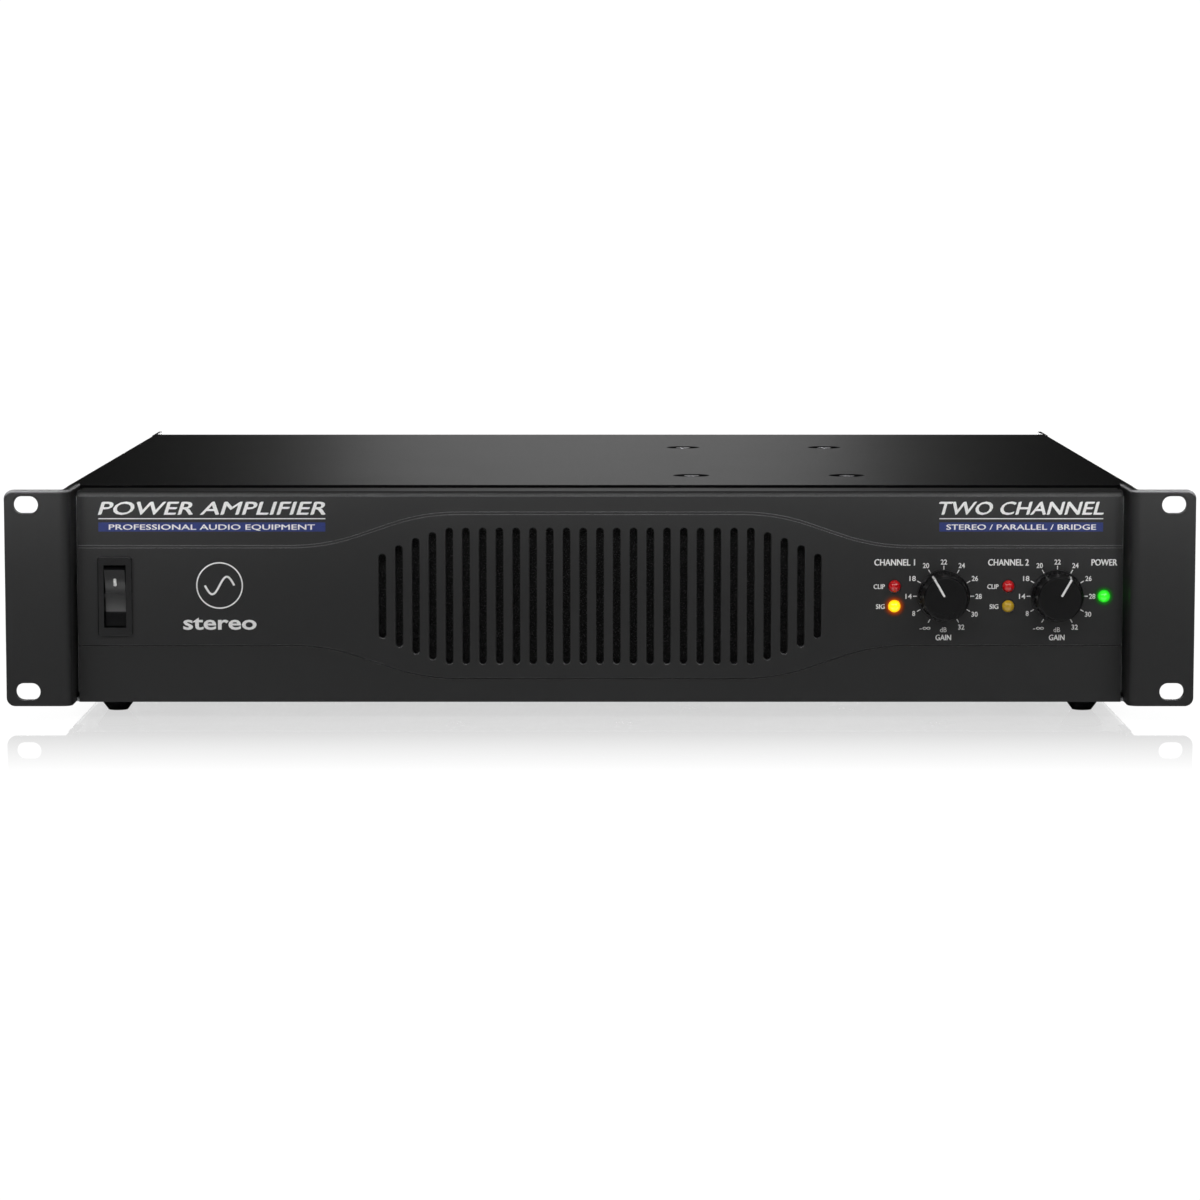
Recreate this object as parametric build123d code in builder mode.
from build123d import *

import math
import os

# Two-channel power amplifier, two rack units high, as the service bench sees it: tray, cover, panels, rack
# ears, controls, transformer, heat sinks, fan and sockets, each piece a solid of its own.
#
# Frame, in millimetres: X to the right and Y into the case, seen from the front, and Z up. The origin is on
# the surface that the rubber feet stand on, half way between the ear faces and the tips of the rear
# supports.
# "Behind" a face means further along +Y. Names that end in _behind are distances behind the ear faces.

# ---------------------------------------------------------------- case
rack_width = 482.6  # over both ears
panel_height = 88.1  # two rack units, less the gap to the next unit
overall_depth = 402.0  # face of the ears to the tips of the rear supports
foot_height = 6.2
sheet = 1.5  # tray, cover, rear panel and front plate
ear_wing = 20.3  # how far an ear stands out past the cover
cover_height = 87.5  # top of the cover above the tray's underside
cover_behind = 36.0  # front edge of the cover
sheet_gap = 0.1  # between sheets that slide over each other
fold_radius = 2.5  # outside radius of the folds in the sheet
rear_lip_height = 8.0  # the cover's lip, down over the rear panel
lip_notch = 2.0  # the lip is cut away round the fan by this much more at each side
skirt_gap = 2.6  # the cover's sides end this far above the tray's underside
wall_drop = 4.0  # the tray's walls end this far below the cover's top
flange_width = 10.0  # turned edges of the rear panel

rear_support_length = 37.7
rear_support_sheet = 1.6
rear_support_gap = 0.3  # to the cover in front of it
rear_support_top = 86.8  # above the tray's underside
rear_support_bottom = 8.0
wall_overlap = 16.0  # tray wall past the rear panel, inside the rear support
support_hole_radius = 2.75
support_hole_rise = 50.0
support_hole_inset = 9.0  # from the tip

foot_top_radius = 8.6
foot_bottom_radius = 4.0
foot_inset = 20.5  # from the cover's side
front_foot_behind = 39.0
rear_foot_behind = 338.0
foot_stem_radius = 2.5
foot_barb_radius = 3.4
foot_barb_height = 1.6

# ---------------------------------------------------------------- front panel
fascia_side_gap = 1.5  # to the ears' returns
fascia_behind = 13.0
fascia_wall = 2.5
fascia_return = 19.6  # top edge, front to back
fascia_drop = 1.5  # the ears' top edges stand this far above the fascia
fascia_lift = 0.1  # its bottom edge above the tray's underside
fascia_edge_radius = 2.0
band_proud = 1.0  # raised middle band
band_bevel = 40.0  # degrees from square
band_middle = 43.75  # height of the band's centre line above the tray's underside
band_half_end = 20.7
band_half_middle = 34.4
band_corner_outer = 112.3  # corners of the band's edge, from the middle
band_corner_inner = 72.0
band_corner_radius = 84.0

grille_pitch = 6.84
grille_slot = 3.0
grille_side_slots = 13  # each side of the middle one
grille_full_slots = 9
grille_half_height = 28.05
grille_step = 1.55  # the outer slots get shorter, by this and more each time
grille_step_growth = 0.28

# ---------------------------------------------------------------- rack ears
ear_sheet = 3.0
ear_fold = 4.0
ear_corner = 3.5
ear_tongue_behind = 72.0  # rear end of the part inside the tray
ear_tongue_inset = 8.0  # that part is lower than the ear by this at both edges
ear_tongue_gap = 0.4  # between the full-height part and the cover's front edge
slot_inset = 8.75  # middle of the rack slots from the ear's edge
hole_rise = 76.2
slot_length = 10.1
slot_width = 7.0

# ---------------------------------------------------------------- front plate, filter and control board
plate_behind = 21.5
plate_foot = 28.5  # bottom edge, turned back over the dimples
plate_side = 44.0  # side edges, turned back along the ears
plate_gap = 0.2
vent_half_width = 86.0
vent_half_height = 27.0
filter_gap = 0.1
filter_half_width = 95.0
filter_half_height = 31.0
board_thickness = 1.6
board_inner_inset = 103.4  # from the fascia's right side
board_outer_inset = 2.4
board_half_height = 21.0

# ---------------------------------------------------------------- power switch
switch_inset = 15.3  # from the fascia's left side
bezel_side_lip = 0.7  # past the body behind it
bezel_end_lip = 1.4
bezel_proud = 1.3
bezel_radius = 1.2
switch_opening_width = 9.0
switch_opening_height = 25.6
switch_side_wall = 1.8
switch_end_wall = 2.0
switch_body_depth = 24.0
switch_well = 13.0
switch_fit = 0.1
rocker_end_gap = 0.35
rocker_edge = 72.0  # degrees from straight out to the ends of the thumb face
rocker_tilt = 10.0  # degrees each way
rocker_pivot = 4.2  # behind the bezel's face
rocker_back = 4.5  # behind the pivot
rocker_dish = 2.6  # depth of the hollow in the thumb face
rocker_side_gap = 0.3
pin_radius = 1.2
pin_length = 1.4
running_gap = 0.05
terminal_width = 4.8
terminal_thickness = 0.8
terminal_length = 7.0
terminal_rise = 7.5

# ---------------------------------------------------------------- gain controls
knob_insets = (73.0, 26.6)  # from the fascia's right side
pointer_angle = (-30.0, 30.0)  # clockwise from straight up
knob_skirt_radius = 10.6
knob_skirt_height = 1.8
knob_grip_radius = 10.0
knob_face_radius = 8.95
knob_edge = 0.5
knob_gap = 0.4  # to the panel
knob_flutes = 30
knob_flute_radius = 0.6
pointer_width = 0.9
pointer_depth = 0.25
pointer_start = 1.0  # from the middle of the face
shaft_radius = 3.0
shaft_grip = 8.0
shaft_hole_radius = 3.8
pot_radius = 8.4
pot_depth = 9.4
bush_radius = 3.5
bush_length = 4.2  # in front of the front plate
nut_across = 10.0
nut_thickness = 2.2
pot_leg = 1.0
pot_leg_pitch = 5.0

# ---------------------------------------------------------------- lights
led_radius = 2.5
led_rim_radius = 2.9
led_rim = 1.0
led_proud = 2.6
led_hole_gap = 0.1
led_insets = (93.1, 46.65)  # from the fascia's right side
power_led_inset = 7.5
led_rise = 4.1  # clip light above and signal light below the centre line
lead_width = 0.6
lead_pitch = 2.54
plate_led_hole_radius = 3.2

# ---------------------------------------------------------------- pressed dimples and screws
dimple_radius = 7.85
dimple_floor_radius = 5.0
dimple_depth = 1.6
screw_radius = 2.0
screw_gap = 0.05
screw_length = 9.0
head_radius = 3.6
head_height = 1.5
cross_width = 0.9
cross_length = 3.8
cross_depth = 0.8
side_screws_behind = (58.0, 150.0, 250.0, 354.0)
ear_screw_rises = (20.0, 66.0)  # above the tray's underside
wall_screw_rise = 20.0
lip_screw_spots = (-130.0, -25.0)
lip_screw_past_fan = 52.8
plate_screws = ((10.0, 43.0), (141.0, 43.0), (-60.0, 43.0))  # x, behind
support_screw_rises = (20.0, 66.0)

# ---------------------------------------------------------------- heat sinks and boards
sink_insets = (178.9, 112.5)  # middle of each base from the tray's right wall
sink_base = 8.0
sink_start_behind = 78.0
sink_end_behind = 286.0
sink_screws_behind = (90.0, 269.0)
fin_thickness = 1.8
fin_count = 10
fin_gap = 2.0  # between the tips of the two sinks' fins
transistor_width = 15.6
transistor_height = 20.8
transistor_thickness = 4.8
transistor_count = 6
transistor_leg_width = 1.1
transistor_leg_pitch = 5.45
amp_board_width = 66.0
amp_board_start_behind = 84.0
amp_board_end_behind = 280.0
standoff_height = 10.0
standoff_radius = 3.0
standoff_inset = 6.0
capacitor_radius = 15.0
capacitor_height = 45.0
capacitor_edge = 1.5
capacitors_per_board = 4
rectifier_size = 28.0
rectifier_height = 11.0

# ---------------------------------------------------------------- transformer
toroid_inset = 98.9  # from the tray's left wall
toroid_behind = 122.0
toroid_radius = 72.0
toroid_hole_radius = 22.0
toroid_height = 60.0
toroid_round = 13.0
clamp_radius = 44.0
clamp_thickness = 2.0
clamp_dish = 3.0
bolt_radius = 4.0
bolt_head_height = 5.3
bolt_head_across = 13.0
bolt_dimple_radius = 19.0
bolt_dimple_floor_radius = 15.0

# ---------------------------------------------------------------- fan
fan_size = 80.0
fan_depth = 25.0
fan_bore_radius = 38.0
fan_hole_pitch = 71.5
fan_corner = 4.0
rotor_radius = 37.0
hub_radius = 17.0
rotor_depth = 20.0
rotor_gap = 0.8
blade_count = 7
blade_thickness = 1.6
blade_pitch = 40.0
blade_root = 4.0  # how far the blades start inside the hub
strut_width = 5.0
strut_depth = 3.0
fan_shaft_radius = 1.5
fan_boss_radius = 15.0
guard_wire = 1.6
guard_spoke_wire = 2.0
guard_rings = (10.0, 18.0, 26.0, 34.0)
guard_eyelet_radius = 4.2

# ---------------------------------------------------------------- rear sockets
row_rise = 18.6  # the two channels' rows, above and below the centre line
socket_inset = 23.9  # from the tray's right wall
socket_flange_width = 26.0
socket_flange_height = 32.0
socket_flange = 2.6
socket_corner = 3.0
socket_barrel_radius = 11.2
socket_barrel_depth = 21.0
socket_mouth_radius = 9.6
socket_mouth_depth = 15.0
socket_core_radius = 7.4
socket_core_set_back = 1.5
contact_radius = 1.2
contact_circle = 3.8
contact_depth = 10.0
latch_width = 7.0
latch_height = 3.4
latch_rise = 13.4
latch_proud = 1.6
latch_gap = 0.2
latch_depth = 6.0
socket_screw_x = 9.2
socket_screw_rise = 12.3
panel_fit = 0.2
jack_step = 31.0  # from the input socket
jack_body = 16.0
jack_depth = 22.0
jack_bore_radius = 3.25
jack_bore_depth = 18.0
jack_bush_radius = 5.4
jack_bush_proud = 3.2
jack_nut_radius = 7.2
jack_nut_thickness = 2.0
input_board_inner = 64.0  # from the input socket
input_board_outer = 16.0
input_board_half_height = 38.0

dip_step = 57.0  # from the input socket
dip_count = 8
dip_pitch = 2.54
dip_width = 9.6
dip_proud = 1.0
dip_lip = 1.2
lever_size = 1.3
lever_travel = 1.8
lever_proud = 0.8
lever_depth = 2.2
lever_gap = 0.1

speaker_x = 3.0
speaker_mouth_radius = 10.5
speaker_barrel_radius = 12.4
speaker_barrel_depth = 24.0
speaker_mouth_depth = 18.0
speaker_core_radius = 4.9
speaker_key = 1.2

post_x = -48.0
post_pitch = 19.05
post_base_radius = 8.0
post_base_depth = 5.0
post_stud_radius = 3.2
post_stud_tail = 9.0
banana_radius = 2.05
banana_depth = 19.0
cap_radius = 6.2
cap_length = 17.0
cap_flutes = 12
cap_flute_radius = 0.9
cap_travel = 6.0
cap_gap = 0.3
stud_tip = 0.7  # past the cap when it is drawn right out
post_nut_across = 9.0
post_nut_thickness = 3.0

inlet_inset = 37.9  # from the tray's left wall
inlet_flange_width = 50.0
inlet_flange_height = 24.0
inlet_flange = 2.4
inlet_body_width = 28.0
inlet_body_height = 20.4
inlet_body_depth = 22.0
inlet_cavity_width = 24.4
inlet_cavity_height = 16.8
inlet_cavity_depth = 17.0
inlet_chamfer = 4.6
inlet_pin_width = 2.0
inlet_pin_height = 4.0
inlet_pin_length = 15.0
inlet_pin_x = 7.0
inlet_pin_rise = 2.0
inlet_tab = 8.0
inlet_screw_x = 20.0
breaker_step = 52.0  # from the mains inlet
breaker_bush_radius = 6.0
breaker_bush_proud = 5.0
breaker_body_width = 15.0
breaker_body_height = 30.0
breaker_body_depth = 28.0
breaker_nut_radius = 9.0
breaker_nut_thickness = 2.2
breaker_button_radius = 4.0
breaker_button_proud = 3.0
breaker_travel = 4.0
breaker_gap = 0.3
breaker_grip = 2.0  # button left in its bush when it is right out

# ---------------------------------------------------------------- wiring
wire_radius = 1.3
wire_wall_gap = 6.0  # from the tray's wall to the wires
wire_lead_out = 14.0
wire_slant = 24.0
ribbon_width = 20.0
ribbon_thickness = 1.0
ribbon_wall_gap = 7.0

# ---------------------------------------------------------------- planes that the pieces share
floor = foot_height  # underside of the tray
middle = floor + band_middle
upper_row = middle + row_rise
lower_row = middle - row_rise
ear_face = -overall_depth / 2
ear_half = rack_width / 2
fascia_face = ear_face + fascia_behind
fascia_inside = fascia_face + fascia_wall
fascia_bottom = floor + fascia_lift
fascia_top = floor + panel_height - fascia_drop
band_face = fascia_face - band_proud
plate_face = ear_face + plate_behind
plate_inside = plate_face + sheet
cover_front = ear_face + cover_behind
cover_rear = overall_depth / 2 - rear_support_length - rear_support_gap
cover_top = floor + cover_height
cover_half = ear_half - ear_wing
cover_inside = cover_half - sheet
tray_half = cover_inside - sheet_gap
tray_inside = tray_half - sheet
ear_inside = tray_inside - ear_sheet
hole_span = rack_width - 2 * slot_inset
foot_x = cover_half - foot_inset
fascia_half = ear_inside - fascia_side_gap
board_left = fascia_half - board_inner_inset
board_right = fascia_half - board_outer_inset
switch_x = switch_inset - fascia_half
knob_x = [fascia_half - inset for inset in knob_insets]
led_x = [fascia_half - inset for inset in led_insets]
power_led_x = fascia_half - power_led_inset
sink_x = [tray_inside - inset for inset in sink_insets]
toroid_x = toroid_inset - tray_inside
socket_x = tray_inside - socket_inset
jack_x = socket_x - jack_step
dip_x = socket_x - dip_step
input_board_left = socket_x - input_board_inner
input_board_right = socket_x + input_board_outer
inlet_x = inlet_inset - tray_inside
breaker_x = inlet_x + breaker_step
tray_top = cover_top - wall_drop
floor_top = floor + sheet
panel_outside = cover_rear - sheet
panel_inside = panel_outside - sheet
panel_top = cover_top - sheet - sheet_gap
bezel_face = band_face - bezel_proud
rocker_axis_y = bezel_face + rocker_pivot
switch_body_width = switch_opening_width + 2 * switch_side_wall
switch_body_height = switch_opening_height + 2 * switch_end_wall
bezel_width = switch_body_width + 2 * bezel_side_lip
bezel_height = switch_body_height + 2 * bezel_end_lip
rocker_radius = switch_opening_height / 2 - rocker_end_gap
rocker_half_width = switch_opening_width / 2 - rocker_side_gap
switch_back = fascia_face + switch_body_depth
knob_back = band_face - knob_gap
knob_front = ear_face
pot_back = plate_inside + pot_depth
clip_z = middle + led_rise
signal_z = middle - led_rise
dimple_top = floor_top + dimple_depth  # inside the tray
dimple_roof = cover_top - sheet - dimple_depth  # inside the cover
sink_front = ear_face + sink_start_behind
sink_rear = ear_face + sink_end_behind
sink_length = sink_rear - sink_front
sink_height = dimple_roof - dimple_top
fin_length = (sink_x[1] - sink_x[0] - sink_base - fin_gap) / 2
fan_x = (sink_x[0] + sink_x[1]) / 2
lip_screw_x = [*lip_screw_spots, fan_x + lip_screw_past_fan]
fan_front = panel_inside - fan_depth
toroid_y = ear_face + toroid_behind
clamp_base = floor_top + toroid_height
amp_board_z = floor_top + standoff_height
amp_board_front = ear_face + amp_board_start_behind
amp_board_length = amp_board_end_behind - amp_board_start_behind
amp_board_y = amp_board_front + amp_board_length / 2
sink_outer = (sink_x[0] - sink_base / 2, sink_x[1] + sink_base / 2)
sink_side = (-1, 1)  # which way each sink's transistors and board face
transistor_reach = transistor_thickness + 1.0
amp_board_x = [
    face + side * (transistor_reach + amp_board_width / 2)
    for face, side in zip(sink_outer, sink_side)
]
sink_screw_spots = [(x, ear_face + y) for x in sink_x for y in sink_screws_behind]
plate_screw_spots = [(x, ear_face + y) for x, y in plate_screws]
fan_screw_spots = [
    (fan_x + sx * fan_hole_pitch / 2, middle + sz * fan_hole_pitch / 2)
    for sx in (-1, 1)
    for sz in (-1, 1)
]
row_heights = (upper_row, lower_row)
post_spots = [
    (post_x + side * post_pitch / 2, z) for z in row_heights for side in (-1, 1)
]
standoff_spots = [
    (
        x + sx * (amp_board_width / 2 - standoff_inset),
        amp_board_y + sy * (amp_board_length / 2 - standoff_inset),
    )
    for x in amp_board_x
    for sx in (-1, 1)
    for sy in (-1, 1)
]
wall_screws = [(ear_face + side_screws_behind[0], floor + rise) for rise in ear_screw_rises]
wall_screws += [(ear_face + behind, floor + wall_screw_rise) for behind in side_screws_behind[1:]]
support_y = cover_rear + rear_support_gap
support_screws = [(support_y + wall_overlap / 2, floor + rise) for rise in support_screw_rises]
lip_screw_z = cover_top - rear_lip_height / 2 - sheet / 2
screw_hole = screw_radius + screw_gap
latch_travel = latch_proud - latch_gap
post_stud_length = cap_gap + cap_length + cap_travel + stud_tip  # outside the base
breaker_button_inside = breaker_travel + breaker_grip
socket_screw_spots = [
    (x + side * socket_screw_x, z + side * socket_screw_rise)
    for x in (socket_x, speaker_x)
    for z in row_heights
    for side in (-1, 1)
]


def front_plane(y):
    """Plane across the case that looks out of the front: its x is X and its y is Z."""
    return Plane(origin=(0, y, 0), x_dir=(1, 0, 0), z_dir=(0, -1, 0))


def rear_plane(y):
    """Plane across the case that looks out of the rear: its x is -X and its y is Z."""
    return Plane(origin=(0, y, 0), x_dir=(-1, 0, 0), z_dir=(0, 1, 0))


def side_plane(x, side):
    """Plane along the case that looks out of the right (side 1) or left (side -1): its x is side * Y."""
    return Plane(origin=(x, 0, 0), x_dir=(0, side, 0), z_dir=(side, 0, 0))


def moved(plane, x, y):
    """The same plane with its origin at local x, y."""
    return Plane(origin=plane.from_local_coords((x, y, 0)), x_dir=plane.x_dir, z_dir=plane.z_dir)


def dimple_cone(mode, radius, floor_radius, depth):
    """Truncated cone of a pressed dimple, from the sketch in hand down against its normal."""
    slope = math.degrees(math.atan2(radius - floor_radius, abs(depth)))
    extrude(amount=depth, taper=slope, mode=mode)


def bend_radii(points):
    """The largest arcs that fit a route: 0.45 of the shorter run over the tangent of half the turn."""
    route = [Vector(point) for point in points]
    radii = []
    for before, here, after in zip(route, route[1:], route[2:]):
        run_in = here - before
        run_out = after - here
        half_turn = math.radians(run_in.get_angle(run_out)) / 2
        radii.append(0.45 * min(run_in.length, run_out.length) / math.tan(half_turn))
    return radii


# ---------------------------------------------------------------- chassis tray
tray_front = cover_front + sheet_gap
tongue_front = fascia_inside + sheet_gap

with BuildPart() as chassis_tray:
    with BuildSketch(front_plane(panel_outside)):
        with BuildLine():
            Polyline(
                (-tray_half, tray_top),
                (-tray_half, floor),
                (tray_half, floor),
                (tray_half, tray_top),
                (tray_inside, tray_top),
                (tray_inside, floor_top),
                (-tray_inside, floor_top),
                (-tray_inside, tray_top),
                close=True,
            )
        make_face()
    extrude(amount=panel_outside - tray_front)
    fillet(chassis_tray.edges().filter_by(Axis.Y).group_by(Axis.Z)[0], fold_radius)
    # The floor runs on under the front plate, between the ears.
    with BuildSketch(Plane.XY.offset(floor)):
        with Locations((0, (tongue_front + tray_front) / 2)):
            Rectangle(2 * (ear_inside - sheet_gap), tray_front - tongue_front)
    extrude(amount=sheet)
    # The walls run on past the rear panel to carry the rear supports.
    for side in (-1, 1):
        with BuildSketch(side_plane(side * tray_inside, side)):
            with Locations((side * (panel_outside + support_y + wall_overlap) / 2, middle)):
                Rectangle(
                    support_y + wall_overlap - panel_outside,
                    2 * (tray_top - middle) - 2 * fold_radius,
                )
        extrude(amount=sheet)
    # Dimples that stand up inside carry the heat sinks and the front plate's foot.
    dimple_spots = sink_screw_spots + plate_screw_spots
    with BuildSketch(Plane.XY.offset(floor_top)):
        with Locations(*dimple_spots):
            Circle(dimple_radius)
    dimple_cone(Mode.ADD, dimple_radius, dimple_floor_radius, dimple_depth)
    with BuildSketch(Plane.XY.offset(floor)):
        with Locations(*dimple_spots):
            Circle(dimple_radius)
    dimple_cone(Mode.SUBTRACT, dimple_radius, dimple_floor_radius, dimple_depth)
    with BuildSketch(Plane.XY.offset(dimple_top)):
        with Locations(*dimple_spots):
            Circle(screw_hole)
    extrude(amount=-2 * sheet, mode=Mode.SUBTRACT)
    # A wide dimple takes the head of the transformer's bolt.
    with BuildSketch(Plane.XY.offset(floor_top)):
        with Locations((toroid_x, toroid_y)):
            Circle(bolt_dimple_radius)
    dimple_cone(Mode.ADD, bolt_dimple_radius, bolt_dimple_floor_radius, bolt_head_height)
    with BuildSketch(Plane.XY.offset(floor)):
        with Locations((toroid_x, toroid_y)):
            Circle(bolt_dimple_radius)
    dimple_cone(Mode.SUBTRACT, bolt_dimple_radius, bolt_dimple_floor_radius, bolt_head_height)
    with BuildSketch(Plane.XY.offset(floor)):
        with Locations((toroid_x, toroid_y)):
            Circle(bolt_radius + screw_gap)
    extrude(amount=4 * bolt_head_height, mode=Mode.SUBTRACT)
    # Threaded standoffs swaged into the floor hold the amplifier boards.
    with BuildSketch(Plane.XY.offset(floor_top)):
        with Locations(*standoff_spots):
            Circle(standoff_radius)
    extrude(amount=standoff_height)
    with BuildSketch(Plane.XY.offset(amp_board_z)):
        with Locations(*standoff_spots):
            Circle(screw_hole)
    extrude(amount=-standoff_height, mode=Mode.SUBTRACT)
    with BuildSketch(Plane.XY.offset(floor)):
        with Locations((0, ear_face + (front_foot_behind + rear_foot_behind) / 2)):
            with GridLocations(2 * foot_x, rear_foot_behind - front_foot_behind, 2, 2):
                Circle(foot_stem_radius)
    extrude(amount=sheet, mode=Mode.SUBTRACT)
    for side in (-1, 1):
        with BuildSketch(side_plane(side * tray_half, side)):
            with Locations(*[(side * y, z) for y, z in wall_screws + support_screws]):
                Circle(screw_hole)
        extrude(amount=-sheet, mode=Mode.SUBTRACT)

# ---------------------------------------------------------------- top cover
with BuildPart() as top_cover:
    with BuildSketch(front_plane(cover_rear)):
        with BuildLine():
            Polyline(
                (-cover_half, floor + skirt_gap),
                (-cover_half, cover_top),
                (cover_half, cover_top),
                (cover_half, floor + skirt_gap),
                (cover_inside, floor + skirt_gap),
                (cover_inside, cover_top - sheet),
                (-cover_inside, cover_top - sheet),
                (-cover_inside, floor + skirt_gap),
                close=True,
            )
        make_face()
    extrude(amount=cover_rear - cover_front)
    with BuildSketch(front_plane(cover_rear)):
        with Locations((0, cover_top - rear_lip_height / 2)):
            Rectangle(2 * tray_inside, rear_lip_height)
        with Locations((fan_x, cover_top - sheet - rear_lip_height / 2)):
            Rectangle(fan_size + 2 * lip_notch, rear_lip_height, mode=Mode.SUBTRACT)
    extrude(amount=sheet)
    fillet(top_cover.edges().filter_by(Axis.Y).group_by(Axis.Z)[-1], fold_radius)
    # Dimples that reach down inside rest on the heat sinks.
    with BuildSketch(Plane.XY.offset(cover_top - sheet)):
        with Locations(*sink_screw_spots):
            Circle(dimple_radius)
    dimple_cone(Mode.ADD, dimple_radius, dimple_floor_radius, -dimple_depth)
    with BuildSketch(Plane.XY.offset(cover_top)):
        with Locations(*sink_screw_spots):
            Circle(dimple_radius)
    dimple_cone(Mode.SUBTRACT, dimple_radius, dimple_floor_radius, -dimple_depth)
    with BuildSketch(Plane.XY.offset(cover_top)):
        with Locations(*sink_screw_spots):
            Circle(screw_hole)
    extrude(amount=-3 * sheet, mode=Mode.SUBTRACT)
    for side in (-1, 1):
        with BuildSketch(side_plane(side * cover_half, side)):
            with Locations(*[(side * y, z) for y, z in wall_screws]):
                Circle(screw_hole)
        extrude(amount=-sheet, mode=Mode.SUBTRACT)
    with BuildSketch(rear_plane(cover_rear)):
        with Locations(*[(-x, lip_screw_z) for x in lip_screw_x]):
            Circle(screw_hole)
    extrude(amount=-sheet, mode=Mode.SUBTRACT)

# ---------------------------------------------------------------- rear panel
with BuildPart() as rear_panel:
    with BuildSketch(rear_plane(panel_inside)):
        with Locations((0, (floor_top + panel_top) / 2)):
            Rectangle(2 * tray_inside, panel_top - floor_top)
    extrude(amount=sheet)
    with BuildSketch(rear_plane(panel_inside - flange_width)):
        with Locations((0, floor_top + sheet / 2)):
            Rectangle(2 * tray_inside, sheet)
        with Locations((0, (floor_top + tray_top) / 2)):
            with GridLocations(2 * tray_inside - sheet, 0, 2, 1):
                Rectangle(sheet, tray_top - floor_top)
    extrude(amount=flange_width)
    for side in (-1, 1):
        with BuildSketch(side_plane(side * tray_inside, side)):
            with Locations(*[(side * y, z) for y, z in wall_screws[-1:]]):
                Circle(screw_hole)
        extrude(amount=-sheet, mode=Mode.SUBTRACT)
    with BuildSketch(rear_plane(panel_outside)):
        with Locations(*[(-x, lip_screw_z) for x in lip_screw_x]):
            Circle(screw_hole)
        with Locations((-fan_x, middle)):
            Circle(fan_bore_radius)
        with Locations(*[(-x, z) for x, z in fan_screw_spots]):
            Circle(screw_hole)
        for z in row_heights:
            with Locations((-socket_x, z)):
                Circle(socket_barrel_radius + panel_fit)
            with Locations((-socket_x, z + latch_rise)):
                Rectangle(latch_width + 2 * latch_gap, latch_height + 2 * latch_gap)
            with Locations((-jack_x, z)):
                Circle(jack_bush_radius + panel_fit)
            with Locations((-speaker_x, z)):
                Circle(speaker_barrel_radius + panel_fit)
        with Locations(*[(-x, z) for x, z in socket_screw_spots]):
            Circle(screw_hole)
        with Locations((-dip_x, middle)):
            Rectangle(dip_width + 2 * panel_fit, dip_count * dip_pitch + 2 * dip_lip + 2 * panel_fit)
        with Locations(*[(-x, z) for x, z in post_spots]):
            Circle(post_stud_radius + panel_fit)
        with Locations((-inlet_x, middle)):
            Rectangle(inlet_body_width + 2 * panel_fit, inlet_body_height + 2 * panel_fit)
            with GridLocations(2 * inlet_screw_x, 0, 2, 1):
                Circle(screw_hole)
        with Locations((-breaker_x, middle)):
            Circle(breaker_bush_radius + panel_fit)
    extrude(amount=-sheet, mode=Mode.SUBTRACT)

# ---------------------------------------------------------------- rear supports
support_height = rear_support_top - rear_support_bottom

with BuildPart() as rear_supports:
    for side in (-1, 1):
        with BuildSketch(side_plane(side * tray_half, side)):
            with Locations((side * (support_y + rear_support_length / 2),
                            floor + rear_support_bottom + support_height / 2)):
                RectangleRounded(rear_support_length, support_height, ear_corner)
            with Locations(*[(side * y, z) for y, z in support_screws]):
                Circle(screw_hole, mode=Mode.SUBTRACT)
            with Locations((side * (overall_depth / 2 - support_hole_inset), middle)):
                with GridLocations(0, support_hole_rise, 1, 2):
                    Circle(support_hole_radius, mode=Mode.SUBTRACT)
        extrude(amount=rear_support_sheet)

# ---------------------------------------------------------------- rubber feet
with BuildPart() as rubber_feet:
    with BuildSketch(Plane.XZ):
        with BuildLine():
            Polyline(
                (0, 0),
                (foot_bottom_radius, 0),
                (foot_top_radius, floor),
                (foot_stem_radius, floor),
                (foot_stem_radius, floor_top),
                (foot_barb_radius, floor_top),
                (foot_stem_radius, floor_top + foot_barb_height),
                (0, floor_top + foot_barb_height),
                close=True,
            )
        make_face()
    revolve(axis=Axis.Z)
    foot = rubber_feet.part
with BuildPart() as rubber_feet:
    with Locations((0, ear_face + (front_foot_behind + rear_foot_behind) / 2)):
        with GridLocations(2 * foot_x, rear_foot_behind - front_foot_behind, 2, 2):
            add(foot)

# ---------------------------------------------------------------- fascia
band_past_end = fascia_half + 4 * band_proud
band_corners = [
    (band_past_end, band_half_end),
    (band_corner_outer, band_half_end),
    (band_corner_inner, band_half_middle),
]

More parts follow.
